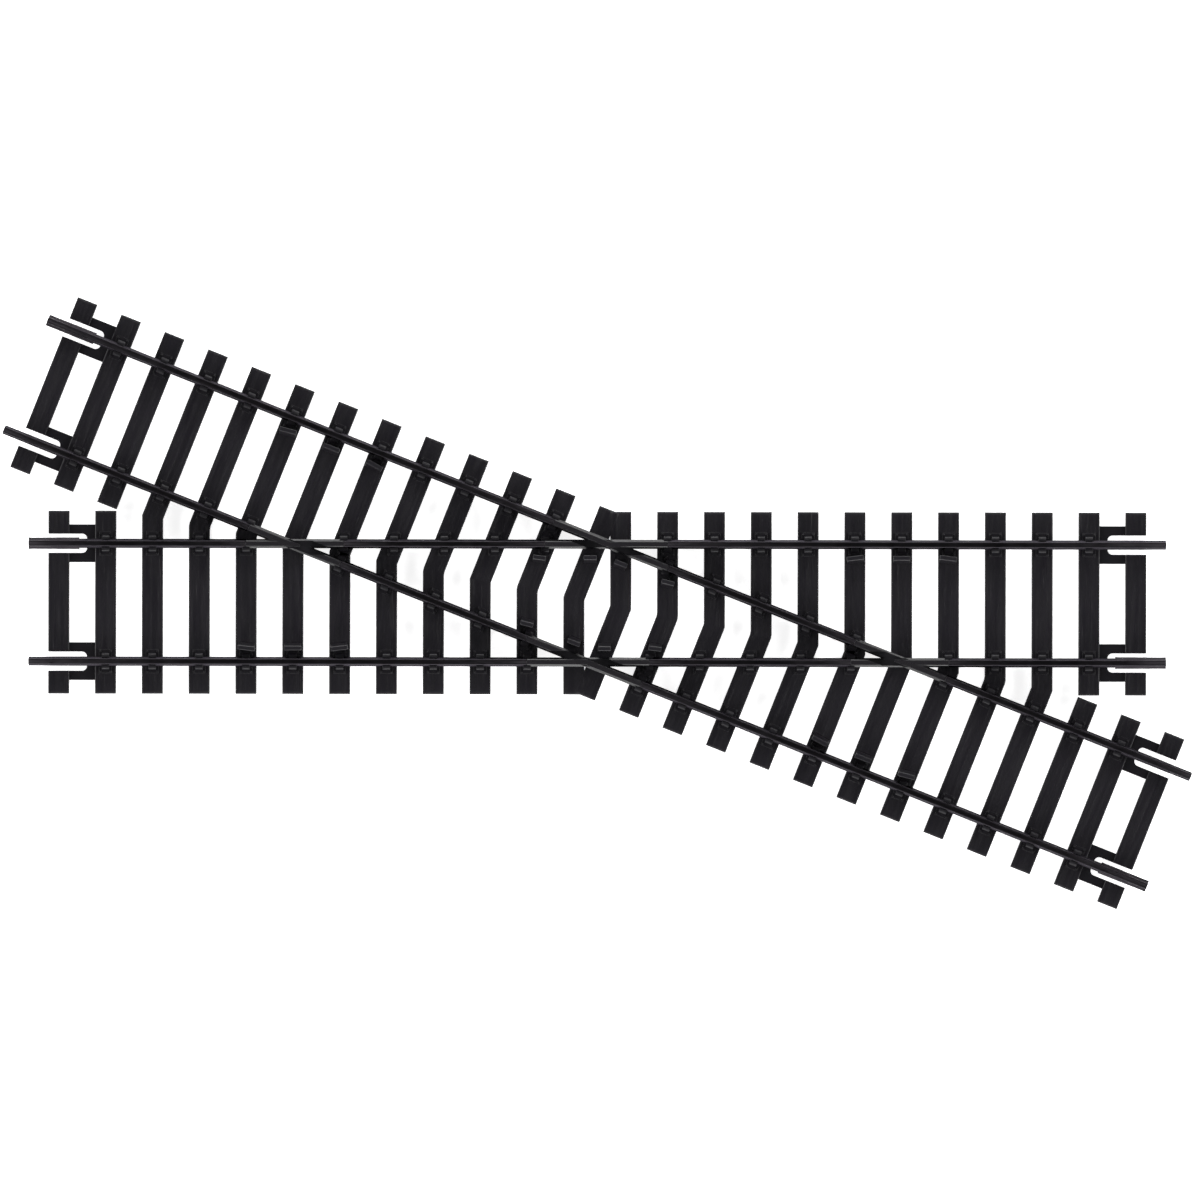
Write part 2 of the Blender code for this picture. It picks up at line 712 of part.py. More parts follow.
def make_joiner(part, name, track, flip, material):
    """A joiner pushed back on the right-hand rail of one track end, its outer end level with the rail."""
    half = HALF_LENGTHS[track]
    bm = bmesh.new()
    add_bar(bm, joiner_profile(), half - JOINER_LENGTH, half, -RAIL_OFFSET)
    angle = TRACKS[track] + (math.pi if flip else 0)
    turn(bm, bm.verts[:], angle)
    end = Matrix.Rotation(angle, 2) @ Vector((half, -RAIL_OFFSET))
    return finish(bm, name, part, material, (end.x, end.y, RAIL_BOTTOM))


def main():
    clear_scene()
    part = make_collection("diamond_crossing")
    base_plastic = make_material("base_plastic", (0.012, 0.011, 0.010), 0.0, 0.55)
    frog_plastic = make_material("frog_plastic", (0.010, 0.010, 0.010), 0.0, 0.40)
    rail_metal = make_material("rail_metal", (0.060, 0.056, 0.052), 1.0, 0.35)
    joiner_metal = make_material("joiner_metal", (0.090, 0.085, 0.078), 1.0, 0.32)
    wire_copper = make_material("wire_copper", (0.450, 0.190, 0.090), 1.0, 0.35)
    make_base(part, base_plastic)
    make_rails(part, rail_metal)
    make_frog(part, "frog_acute_west", "acute", 1, frog_plastic)
    make_frog(part, "frog_acute_east", "acute", -1, frog_plastic)
    make_frog(part, "frog_obtuse_north", "obtuse", 1, frog_plastic)
    make_frog(part, "frog_obtuse_south", "obtuse", -1, frog_plastic)
    for track in TRACKS:
        make_joiner(part, f"joiner_{track}_east", track, False, joiner_metal)
        make_joiner(part, f"joiner_{track}_west", track, True, joiner_metal)
        for name, side in SIDES.items():
            for kind in ("acute", "obtuse"):
                make_wire(part, f"bond_{track}_{name}_{kind}", track, side, kind, wire_copper)


main()
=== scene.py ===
"""Looks of the fixed diamond crossing: moulded base, blackened rails, frogs, joiners and wires.

Everything is in metres in the CAD frame: crossing centre at the origin, +X along the main track, +Z up.
Each track also has its own frame, with u along the track and v across it.
"""

import math

import bmesh
import bpy
from mathutils import Matrix, Vector, noise


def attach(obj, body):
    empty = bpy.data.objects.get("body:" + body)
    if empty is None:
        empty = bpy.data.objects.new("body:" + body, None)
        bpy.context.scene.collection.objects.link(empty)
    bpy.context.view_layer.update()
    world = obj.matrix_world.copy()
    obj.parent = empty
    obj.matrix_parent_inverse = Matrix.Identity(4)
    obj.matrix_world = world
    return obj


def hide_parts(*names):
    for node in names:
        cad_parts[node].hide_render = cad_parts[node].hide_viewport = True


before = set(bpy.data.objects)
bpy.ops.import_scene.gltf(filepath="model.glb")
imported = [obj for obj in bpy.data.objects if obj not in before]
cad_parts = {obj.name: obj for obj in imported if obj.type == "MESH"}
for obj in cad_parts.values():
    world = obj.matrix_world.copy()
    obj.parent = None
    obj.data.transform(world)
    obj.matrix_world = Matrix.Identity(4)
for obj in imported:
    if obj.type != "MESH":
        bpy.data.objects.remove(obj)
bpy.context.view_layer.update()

MM = 0.001

# Track layout, as in the CAD
CROSSING_ANGLE = math.radians(21.69)
HALF_ANGLE = CROSSING_ANGLE / 2
GAUGE = 16.5 * MM
HEAD_WIDTH = 0.91 * MM
RAIL_OFFSET = (GAUGE + HEAD_WIDTH) / 2
HALF_LENGTHS = {"main": 84.0 * MM, "cross": 90.9 * MM}
TRACKS = {"main": 0.0, "cross": -CROSSING_ANGLE}
SIDES = {"north": 1, "south": -1}
FRAME_OF = {name: Matrix.Rotation(angle, 4, "Z") for name, angle in TRACKS.items()}
HALF_TURN = Matrix.Rotation(math.pi, 4, "Z")

# Heights
SLEEPER_HEIGHT = 2.0 * MM
RAIL_BOTTOM = 2.02 * MM
RAIL_HEIGHT = 2.5 * MM
RAIL_TOP = RAIL_BOTTOM + RAIL_HEIGHT
MOULDED_BOTTOM = 1.85 * MM

# Sleepers
PITCH = 6.917 * MM
SLEEPER_WIDTH = 3.11 * MM
SLEEPER_LENGTH = 27.04 * MM
BENT_SLEEPERS = 10
SLEEPER_COUNT = {"main": 12, "cross": 13}
EDGE = 0.13 * MM
TOP_STRIPS = 14
SECTION_STEP = 0.55 * MM
GRAIN_DEPTH = 0.075 * MM
WALL = 0.5 * MM
WALL_DRAFT = 0.06 * MM
HOLLOW_DEPTH = 1.25 * MM
HOLLOW_END_DRAFT = 0.05 * MM

# Webs, end frames and joiner pockets
TIE_HALF_WIDTH = 0.55 * MM
TIE_BOTTOM = 0.4 * MM
TIE_TOP = 1.5 * MM
TIE_EDGE = 0.1 * MM
WALL_BITE = 0.4 * MM
RISER_SLOT = 2.4 * MM
FRAME_BOTTOM = 0.04 * MM
FRAME_HEIGHT = 1.5 * MM
FRAME_HALF_WIDTH = 2.79 * MM
POCKET_HALF_WIDTH = 1.41 * MM
POCKET_BACK = 2.61 * MM
POCKET_CORNER = 0.72 * MM

# Chairs and guards
CLIP_ROOM = 1.6 * MM
BOLT_ROOM = 0.8 * MM
JAW_HALF_LENGTH = 0.55 * MM
PLATE_INNER = 0.73 * MM
PLATE_TOP = 2.19 * MM
BOLT_SPREAD = 0.74 * MM
BOLT_OFFSET = 1.46 * MM
FLANGEWAY = 1.2 * MM
GUARD_WIDTH = 0.7 * MM
GUARD_LENGTH = 2.5 * MM
GUARD_SKEW_LENGTH = 1.9 * MM
GUARD_FLARE = math.radians(7.0)

# Wires and joiners
WIRE_RADIUS = 0.2 * MM
WIRE_Z = {"main": 1.05 * MM, "cross": 0.45 * MM}
GROOVE_WIDTH = 0.56 * MM
WIRE_BEND = 0.35 * MM
GROOVE_CLEARANCE = 0.05 * MM
GROOVE_BELOW = 0.5 * MM
SOLDER_RADIUS = 0.40 * MM
SOLDER_HEIGHT = 0.16 * MM
JOINER_LENGTH = 7.5 * MM

# Studio
CAMERA_PLACE = (0.40 * MM, 0.465 * MM)
CAMERA_TURN = math.radians(0.105)
VIEW_WIDTH = 177.32 * MM
FLOOR_REACH = 3.0
FLOOR_Z = -0.02 * MM
SOFTBOX_DISTANCE = 1.3
SOFTBOX_SIZE = 1.0
SOFTBOX_POWER = 28.0


# ---------------------------------------------------------------- materials


class Nodes:
    """A short way to build a node material."""

    def __init__(self, name):
        self.material = bpy.data.materials.new(name)
        self.material.use_nodes = True
        self.tree = self.material.node_tree
        self.shader = self.tree.nodes["Principled BSDF"]
        self.coords = self.add("ShaderNodeTexCoord").outputs["Object"]

    def add(self, kind, **settings):
        node = self.tree.nodes.new(kind)
        for key, value in settings.items():
            setattr(node, key, value)
        return node

    def link(self, output, target):
        self.tree.links.new(output, target)

    def mapped(self, turn, stretch):
        """Object coordinates turned about Z and stretched, so that a pattern runs along a track."""
        mapping = self.add("ShaderNodeMapping", vector_type="TEXTURE")
        mapping.inputs["Rotation"].default_value = (0, 0, turn)
        scale = self.add("ShaderNodeVectorMath", operation="MULTIPLY")
        scale.inputs[1].default_value = stretch
        self.link(self.coords, mapping.inputs["Vector"])
        self.link(mapping.outputs["Vector"], scale.inputs[0])
        return scale.outputs["Vector"]

    def noise(self, vector, scale, detail=4.0, roughness=0.55, distortion=0.0):
        node = self.add("ShaderNodeTexNoise")
        node.inputs["Scale"].default_value = scale
        node.inputs["Detail"].default_value = detail
        node.inputs["Roughness"].default_value = roughness
        node.inputs["Distortion"].default_value = distortion
        self.link(vector, node.inputs["Vector"])
        return node.outputs["Fac"]

    def ramp(self, value, low, high, start, end):
        """The value between low and high, mapped to start and end, clamped."""
        node = self.add("ShaderNodeMapRange")
        node.inputs["From Min"].default_value = low
        node.inputs["From Max"].default_value = high
        node.inputs["To Min"].default_value = start
        node.inputs["To Max"].default_value = end
        self.link(value, node.inputs["Value"])
        return node.outputs["Result"]

    def math(self, operation, first, second):
        node = self.add("ShaderNodeMath", operation=operation)
        for socket, value in zip(node.inputs, (first, second)):
            if isinstance(value, (int, float)):
                socket.default_value = value
            else:
                self.link(value, socket)
        return node.outputs["Value"]

    def blend(self, factor, first, second):
        node = self.add("ShaderNodeMix", data_type="RGBA")
        self.link(factor, node.inputs["Factor"])
        for socket, value in ((node.inputs[6], first), (node.inputs[7], second)):
            if isinstance(value, tuple):
                socket.default_value = (*value, 1.0)
            else:
                self.link(value, socket)
        return node.outputs[2]

    def bump(self, height, strength, distance, under=None):
        node = self.add("ShaderNodeBump")
        node.inputs["Strength"].default_value = strength
        node.inputs["Distance"].default_value = distance
        self.link(height, node.inputs["Height"])
        if under is not None:
            self.link(under, node.inputs["Normal"])
        return node.outputs["Normal"]

    def facing_up(self):
        """One where the surface faces up, nothing where it stands upright."""
        geometry = self.add("ShaderNodeNewGeometry")
        parts = self.add("ShaderNodeSeparateXYZ")
        self.link(geometry.outputs["Normal"], parts.inputs["Vector"])
        return self.ramp(parts.outputs["Z"], 0.75, 0.98, 0.0, 1.0)

    def height(self):
        parts = self.add("ShaderNodeSeparateXYZ")
        self.link(self.coords, parts.inputs["Vector"])
        return parts.outputs["Z"]

    def finish(self, colour, roughness, normal):
        for value, name in ((colour, "Base Color"), (roughness, "Roughness"), (normal, "Normal")):
            self.link(value, self.shader.inputs[name])
        return self.material


def sleeper_plastic(name, turn):
    """Near-black moulding with a sawn wood grain that runs along v of its track."""
    make = Nodes(name)
    make.shader.inputs["Specular IOR Level"].default_value = 0.30
    grain_place = make.mapped(turn, (1.0, 0.07, 0.3))
    grain = make.noise(grain_place, 5200.0, 5.0, 0.6, 0.4)
    broad = make.noise(grain_place, 1300.0, 3.0, 0.5, 0.8)
    patches = make.noise(make.coords, 160.0, 3.0, 0.5)
    pores = make.noise(make.coords, 9000.0, 2.0, 0.5)
    streaks = make.ramp(grain, 0.36, 0.64, 0.0, 1.0)
    dark = make.blend(patches, (0.0014, 0.0011, 0.0021), (0.0024, 0.0019, 0.0034))
    light = make.blend(patches, (0.0036, 0.0029, 0.0048), (0.0054, 0.0044, 0.0070))
    colour = make.blend(streaks, dark, light)
    roughness = make.ramp(make.math("ADD", grain, broad), 0.7, 1.3, 0.52, 0.36)
    fine = make.bump(pores, 0.25, 0.02 * MM)
    grained = make.bump(grain, 0.55, 0.07 * MM, fine)
    normal = make.bump(broad, 0.5, 0.12 * MM, grained)
    return make.finish(colour, roughness, normal)


def plain_plastic(name):
    """The same moulding where the mould was spark-finished: a fine even grain."""
    make = Nodes(name)
    make.shader.inputs["Specular IOR Level"].default_value = 0.32
    fine = make.noise(make.coords, 7000.0, 3.0, 0.6)
    patches = make.noise(make.coords, 220.0, 3.0, 0.5)
    colour = make.blend(patches, (0.0020, 0.0016, 0.0028), (0.0042, 0.0035, 0.0056))
    roughness = make.ramp(fine, 0.3, 0.7, 0.36, 0.48)
    normal = make.bump(fine, 0.4, 0.03 * MM)
    return make.finish(colour, roughness, normal)


def frog_plastic(name):
    """Satin black insulating plastic, rubbed brighter along the running surfaces."""
    make = Nodes(name)
    make.shader.inputs["Specular IOR Level"].default_value = 0.34
    fine = make.noise(make.coords, 6000.0, 3.0, 0.6)
    patches = make.noise(make.coords, 300.0, 4.0, 0.6)
    along = make.noise(make.mapped(-HALF_ANGLE, (0.06, 1.0, 1.0)), 5000.0, 3.0, 0.5)
    near_top = make.ramp(make.height(), RAIL_TOP - 0.25 * MM, RAIL_TOP - 0.02 * MM, 0.0, 1.0)
    rubbed = make.math("MULTIPLY", make.math("MULTIPLY", near_top, make.facing_up()), along)
    body = make.blend(patches, (0.0018, 0.0016, 0.0024), (0.0038, 0.0034, 0.0048))
    colour = make.blend(rubbed, body, (0.0110, 0.0100, 0.0115))
    polish = make.math("MULTIPLY", rubbed, 0.12)
    roughness = make.math("SUBTRACT", make.ramp(fine, 0.3, 0.7, 0.32, 0.44), polish)
    normal = make.bump(along, 0.15, 0.02 * MM, make.bump(fine, 0.25, 0.02 * MM))
    return make.finish(colour, roughness, normal)


def rail_metal(name, turn):
    """Blackened steel drawn along the rail, with a thin polish on the running surface."""
    make = Nodes(name)
    make.shader.inputs["Metallic"].default_value = 1.0
    drawn = make.noise(make.mapped(turn, (0.012, 1.0, 1.0)), 16000.0, 4.0, 0.6)
    blotches = make.noise(make.mapped(turn, (0.35, 1.0, 1.0)), 900.0, 5.0, 0.65)
    specks = make.noise(make.coords, 5200.0, 2.0, 0.5)
    near_top = make.ramp(make.height(), RAIL_TOP - 0.35 * MM, RAIL_TOP - 0.05 * MM, 0.0, 1.0)
    wear = make.math("MULTIPLY", make.math("MULTIPLY", near_top, make.facing_up()), drawn)
    coat = make.blend(blotches, (0.0080, 0.0072, 0.0094), (0.0165, 0.0150, 0.0180))
    rust = make.ramp(specks, 0.60, 0.72, 0.0, 0.35)
    coat = make.blend(rust, coat, (0.0210, 0.0150, 0.0135))
    colour = make.blend(wear, coat, (0.0360, 0.0335, 0.0365))
    polish = make.math("MULTIPLY", wear, 0.15)
    roughness = make.math("SUBTRACT", make.ramp(blotches, 0.3, 0.7, 0.34, 0.46), polish)
    normal = make.bump(specks, 0.12, 0.02 * MM, make.bump(drawn, 0.35, 0.02 * MM))
    return make.finish(colour, roughness, normal)


def joiner_metal(name, turn):
    """Thin folded strip, blackened, rubbed along its lips."""
    make = Nodes(name)
    make.shader.inputs["Metallic"].default_value = 1.0
    rolled = make.noise(make.mapped(turn, (0.05, 1.0, 1.0)), 9000.0, 4.0, 0.6)
    blotches = make.noise(make.coords, 1400.0, 4.0, 0.6)
    coat = make.blend(blotches, (0.0085, 0.0076, 0.0092), (0.0170, 0.0155, 0.0175))
    rubbed = make.ramp(rolled, 0.55, 0.75, 0.0, 0.6)
    colour = make.blend(rubbed, coat, (0.0300, 0.0275, 0.0290))
    roughness = make.ramp(blotches, 0.3, 0.7, 0.32, 0.5)
    normal = make.bump(rolled, 0.3, 0.02 * MM)
    return make.finish(colour, roughness, normal)


def copper(name):
    """Bare annealed copper wire, tarnished in patches."""
    make = Nodes(name)
    make.shader.inputs["Metallic"].default_value = 1.0
    patches = make.noise(make.coords, 900.0, 5.0, 0.6)
    fine = make.noise(make.coords, 12000.0, 2.0, 0.5)
    colour = make.blend(patches, (0.230, 0.085, 0.040), (0.560, 0.250, 0.130))
    roughness = make.ramp(patches, 0.3, 0.7, 0.48, 0.26)
    return make.finish(colour, roughness, make.bump(fine, 0.2, 0.01 * MM))


def solder(name):
    """Dull solder, a little lumpy."""
    make = Nodes(name)
    make.shader.inputs["Metallic"].default_value = 1.0
    lumps = make.noise(make.coords, 2500.0, 3.0, 0.5)
    colour = make.blend(lumps, (0.30, 0.30, 0.31), (0.52, 0.52, 0.53))
    roughness = make.ramp(lumps, 0.3, 0.7, 0.5, 0.3)
    return make.finish(colour, roughness, make.bump(lumps, 0.3, 0.05 * MM))


def floor_paper(name):
    """Plain white studio paper, lit from within, and clear from below so that the underside shows."""
    make = Nodes(name)
    make.shader.inputs["Specular IOR Level"].default_value = 0.0
    make.shader.inputs["Emission Color"].default_value = (1.0, 1.0, 1.0, 1.0)
    make.shader.inputs["Emission Strength"].default_value = 0.85
    fibre = make.noise(make.coords, 900.0, 4.0, 0.6)
    colour = make.blend(fibre, (0.90, 0.90, 0.90), (0.92, 0.92, 0.92))
    roughness = make.ramp(fibre, 0.3, 0.7, 0.85, 0.95)
    make.finish(colour, roughness, make.bump(fibre, 0.02, 0.02 * MM))
    one_sided = make.add("ShaderNodeMixShader")
    make.link(make.add("ShaderNodeNewGeometry").outputs["Backfacing"], one_sided.inputs["Fac"])
    make.link(make.shader.outputs["BSDF"], one_sided.inputs[1])
    make.link(make.add("ShaderNodeBsdfTransparent").outputs["BSDF"], one_sided.inputs[2])
    make.link(one_sided.outputs["Shader"], make.tree.nodes["Material Output"].inputs["Surface"])
    return make.material


# ---------------------------------------------------------------- mesh helpers


def loft(bm, sections, slots=None):
    """Join closed sections of equal length into one capped skin. Slots gives a material per span."""
    rings = [[bm.verts.new(point) for point in section] for section in sections]
    count = len(rings[0])
    for span, (first, second) in enumerate(zip(rings, rings[1:])):
        for index in range(count):
            after = (index + 1) % count
            face = bm.faces.new((first[index], first[after], second[after], second[index]))
            face.material_index = slots[span] if slots else 0
    start = bm.faces.new(rings[0][::-1])
    end = bm.faces.new(rings[-1])
    start.material_index = slots[0] if slots else 0
    end.material_index = slots[-1] if slots else 0


def bar(bm, profile, start, end, placed):
    """A profile in v and z run straight along u, then placed."""
    sections = [[placed @ Vector((u, v, z)) for v, z in profile] for u in (start, end)]
    loft(bm, sections)


def block(bm, outline, bottom, top, placed):
    """A plan outline stood up as a block, then placed."""
    loft(bm, [[placed @ Vector((u, v, z)) for u, v in outline] for z in (bottom, top)])


def rectangle(u_range, v_range):
    (u0, u1), (v0, v1) = u_range, v_range
    return [(u0, v0), (u1, v0), (u1, v1), (u0, v1)]


def mirrored(half):
    return half + [(-v, z) for v, z in reversed(half) if abs(v) > 1e-9]


def bead(bm, place, radius, height):
    """A flattened ball of solder."""
    placed = Matrix.Translation(place) @ Matrix.Diagonal((radius, radius, height, 1))
    bmesh.ops.create_icosphere(bm, subdivisions=2, radius=1.0, matrix=placed)


def to_object(bm, name):
    """Turn a bmesh into an object, with its faces pointing out."""
    bmesh.ops.recalc_face_normals(bm, faces=bm.faces)
    mesh = bpy.data.meshes.new(name)
    bm.to_mesh(mesh)
    bm.free()
    obj = bpy.data.objects.new(name, mesh)
    bpy.context.scene.collection.objects.link(obj)
    return obj


def combine(obj, other, operation):
    """Join another object's shape to a piece, or cut it out, and remove the other object."""
    step = obj.modifiers.new("Combine", "BOOLEAN")
    step.operation = operation
    step.solver = "MANIFOLD"
    step.object = other
    scene_now = bpy.context.evaluated_depsgraph_get()
    mesh = bpy.data.meshes.new_from_object(obj.evaluated_get(scene_now))
    obj.modifiers.remove(step)
    obj.data = mesh
    bpy.data.objects.remove(other)


def piece(bm, name, body, materials, slot, smooth=35.0, bevel=0.0, joined=None, cutter=None):
    """Turn a bmesh into a finished piece that rides on a body, with others joined or cut out."""
    obj = to_object(bm, name)
    others = {"UNION": joined, "DIFFERENCE": cutter}
    for part in (obj, *filter(None, others.values())):
        for material in materials:
            part.data.materials.append(material)
    for operation, other in others.items():
        if other:
            combine(obj, other, operation)
    obj.data.shade_smooth()
    obj.data.set_sharp_from_angle(angle=math.radians(smooth))
    if bevel:
        rounding = obj.modifiers.new("Rounding", "BEVEL")
        rounding.width = bevel
        rounding.segments = 2
        rounding.limit_method = "ANGLE"
        rounding.angle_limit = math.radians(40)
        rounding.harden_normals = True
    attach(obj, body)
    return obj


# ---------------------------------------------------------------- layout


def seats(track, side):
    """Where a rail line crosses the middle of each sleeper, along that track, in order."""
    across = side if track == "main" else -side
    places = []
    for index in range(SLEEPER_COUNT[track]):
        distance = (index + 0.5) * PITCH
        slanted = -distance / math.cos(CROSSING_ANGLE) + RAIL_OFFSET * math.tan(CROSSING_ANGLE)
        leaning = distance * math.tan(HALF_ANGLE) < RAIL_OFFSET and index < BENT_SLEEPERS
        places += [across * distance, across * (slanted if leaning else -distance)]
    return sorted(places)


def vertex_u(track, side, kind):
    """Where a rail line meets its acute or obtuse frog, along its own track."""
    hand = side if track == "main" else -side
    if kind == "acute":
        return -hand * RAIL_OFFSET / math.tan(HALF_ANGLE)
    return hand * RAIL_OFFSET * math.tan(HALF_ANGLE)


def frog_seats(track, side, kind):
    """Indices of the seats where a frog's arms end."""
    places = seats(track, side)
    vertex = vertex_u(track, side, kind)
    if kind == "acute":
        middle = min(range(len(places)), key=lambda index: abs(places[index] - vertex))
        return middle - 1, middle + 1
    after = min(index for index, place in enumerate(places) if place > vertex)
    return after - 2, after + 1


def riser_u(track, side, kind):
    """Where a bonding wire rises to the rails either side of a frog."""
    places = seats(track, side)
    before, after = frog_seats(track, side, kind)
    if kind == "obtuse":
        far = vertex_u(track, side, kind) > 0
        before, after = (before, after + 1) if far else (before - 1, after)
    return (places[before] + places[before - 1]) / 2, (places[after] + places[after + 1]) / 2


def line_distance(track, side, point):
    """Distance in plan from a point to the middle of a rail line."""
    local = FRAME_OF[track].inverted() @ point
    return abs(local.y - side * RAIL_OFFSET)


def clear_by(track, side, point, room):
    """Whether a point stands clear of every rail line but its own."""
    others = [(other, line) for other in TRACKS for line in SIDES.values()]
    others.remove((track, side))
    return all(line_distance(other, line, point) > room for other, line in others)


def grooves():
    """A cutter for the grooves under the base that hold each track's bonding wires."""
    runs = {}
    for track in TRACKS:
        bm = bmesh.new()
        top = WIRE_Z[track] + WIRE_RADIUS + GROOVE_CLEARANCE
        for side in SIDES.values():
            middle = side * RAIL_OFFSET
            across = (middle - GROOVE_WIDTH / 2, middle + GROOVE_WIDTH / 2)
            for kind in ("acute", "obtuse"):
                run = rectangle(riser_u(track, side, kind), across)
                block(bm, run, -GROOVE_BELOW, top, FRAME_OF[track])
        runs[track] = to_object(bm, f"{track}_grooves")
    combine(runs["main"], runs["cross"], "UNION")
    runs["main"].data.materials.clear()
    return runs["main"]


# ---------------------------------------------------------------- sleepers


def sleeper_section(low_top, hollow, seed, place):
    """Points of one cross-section in t and z: rounded top edges, grained top and hollow underside."""
    half = SLEEPER_WIDTH / 2
    top = SLEEPER_HEIGHT - low_top
    left = [(-half, 0.0), (-half, top - EDGE), (-half + 0.3 * EDGE, top - 0.3 * EDGE)]
    crown = []
    for step in range(TOP_STRIPS + 1):
        t = -half + EDGE + (SLEEPER_WIDTH - 2 * EDGE) * step / TOP_STRIPS
        grain = noise.noise(Vector((t * 4200, place * 260, seed * 7.3)))
        check = noise.noise(Vector((t * 1500, place * 90, seed * 3.1 + 40)))
        sink = GRAIN_DEPTH * max(0.0, 0.35 + 0.8 * grain) + 0.5 * GRAIN_DEPTH * max(0.0, check)
        edge = min(1.0, min(step, TOP_STRIPS - step) / 1.5)
        crown.append((t, top - sink * edge))
    right = [(-t, z) for t, z in reversed(left)]
    rim = half - WALL
    roof = rim - WALL_DRAFT
    under = [(rim, 0.0), (roof, hollow), (-roof, hollow), (-rim, 0.0)]
    return left + crown + right + under


def spans(start, end, step):
    """Places from start to end, at most a step apart."""
    count = max(1, math.ceil((end - start) / step))
    return [start + (end - start) * index / count for index in range(count + 1)]


def run_places(length, low_end, high_end):
    """Places along a sleeper with the drop of the top edge and the depth of the hollow at each."""
    places = []
    rounded = (0.0, 0.3 * EDGE, EDGE)
    inner = (WALL, length - WALL)
    marks = sorted({*rounded, *(length - place for place in rounded), *spans(*inner, SECTION_STEP)})
    for place in marks:
        low_top = 0.0
        if low_end:
            low_top = max(low_top, max(0.0, EDGE - place) ** 2 / EDGE)
        if high_end:
            low_top = max(low_top, max(0.0, EDGE - (length - place)) ** 2 / EDGE)
        places.append((place, low_top, 0.0))
        if abs(place - inner[0]) < 1e-9:
            places.append((place + HOLLOW_END_DRAFT, low_top, HOLLOW_DEPTH))
        elif abs(place - inner[1]) < 1e-9:
            places[-1] = (place - HOLLOW_END_DRAFT, low_top, HOLLOW_DEPTH)
            places.append((place, low_top, 0.0))
        elif inner[0] < place < inner[1]:
            places[-1] = (place, low_top, HOLLOW_DEPTH)
    return places


def straight_run(bm, placed, middle, v_start, v_end, ends, slot, seed):
    """One straight sleeper, or a length of one, square to its track."""
    sections = []
    for place, low_top, hollow in run_places(v_end - v_start, *ends):
        section = sleeper_section(low_top, hollow, seed, v_start + place)
        sections.append([placed @ Vector((middle + t, v_start + place, z)) for t, z in section])
    loft(bm, sections, [slot] * (len(sections) - 1))


def bent_run(bm, placed, index, seed):
    """One sleeper that turns from square with the main track to square with the cross track."""
    distance = (index + 0.5) * PITCH
    reach = SLEEPER_LENGTH / 2
    slope = math.tan(HALF_ANGLE)
    turn = FRAME_OF["cross"]
    length = 2 * (reach + distance * slope)
    sections = []
    slots = []
    for place, low_top, hollow in run_places(length, True, True):
        section = sleeper_section(low_top, hollow, seed, place)
        share = place / (length / 2)
        points = []
        for t, z in section:
            bend = (distance - t) * slope
            if share <= 1:
                points.append(placed @ Vector((t - distance, -reach + share * (reach + bend), z)))
            else:
                along = -bend + (share - 1) * (reach + bend)
                points.append(placed @ turn @ Vector((t - distance, along, z)))
        sections.append(points)
        slots.append(0 if share < 1 else 1)
    loft(bm, sections, slots[:-1])


def half_sleepers(placed, first_seed):
    """The sleepers of one half of the crossing, from the middle outwards along both tracks."""
    bm = bmesh.new()
    reach = SLEEPER_LENGTH / 2
    inner = RAIL_OFFSET - POCKET_HALF_WIDTH
    outer = RAIL_OFFSET + POCKET_HALF_WIDTH
    for index in range(BENT_SLEEPERS):
        bent_run(bm, placed, index, first_seed + index)
    for slot, track in enumerate(TRACKS):
        where = placed @ FRAME_OF[track]
        for index in range(BENT_SLEEPERS, SLEEPER_COUNT[track]):
            middle = -(index + 0.5) * PITCH
            seed = first_seed + (slot + 1) * SLEEPER_COUNT[track] + index
            if index < SLEEPER_COUNT[track] - 1:
                straight_run(bm, where, middle, -reach, reach, (True, True), slot, seed)
            else:
                straight_run(bm, where, middle, -reach, -outer, (True, False), slot, seed)
                straight_run(bm, where, middle, -inner, inner, (False, False), slot, seed)
                straight_run(bm, where, middle, outer, reach, (False, True), slot, seed)
    return bm


def make_sleepers(grains):
    """Both halves joined into one moulding, with its wire grooves."""
    west = half_sleepers(Matrix.Identity(4), 0)
    east = to_object(half_sleepers(HALF_TURN, 50), "east_sleepers")
    shapes = {"joined": east, "cutter": grooves()}
    return piece(west, "look_sleepers", "crossing", grains, "base_plastic", smooth=50.0, **shapes)


# ---------------------------------------------------------------- webs and end frames


def make_webs(material):
    """Webs under the rails, grooved for the wires and broken where a wire rises."""
    half = [
        (TIE_HALF_WIDTH - TIE_EDGE, TIE_BOTTOM),
        (TIE_HALF_WIDTH, TIE_BOTTOM + TIE_EDGE),
        (TIE_HALF_WIDTH, TIE_TOP - TIE_EDGE),
        (TIE_HALF_WIDTH - TIE_EDGE, TIE_TOP),
    ]
    webs = {track: bmesh.new() for track in TRACKS}
    for track, bm in webs.items():
        reach = (SLEEPER_COUNT[track] - 1.5) * PITCH - SLEEPER_WIDTH / 2 + WALL_BITE
        for side in SIDES.values():
            risers = sorted(u for kind in ("acute", "obtuse") for u in riser_u(track, side, kind))
            starts = [-reach] + [u + RISER_SLOT / 2 for u in risers]
            ends = [u - RISER_SLOT / 2 for u in risers] + [reach]
            shifted = [(side * RAIL_OFFSET + v, z) for v, z in mirrored(half)]
            for start, end in zip(starts, ends):
                bar(bm, shifted, start, end, FRAME_OF[track])
    shapes = {"joined": to_object(webs["cross"], "cross_webs"), "cutter": grooves()}
    return piece(webs["main"], "look_webs", "crossing", [material], "base_plastic", **shapes)


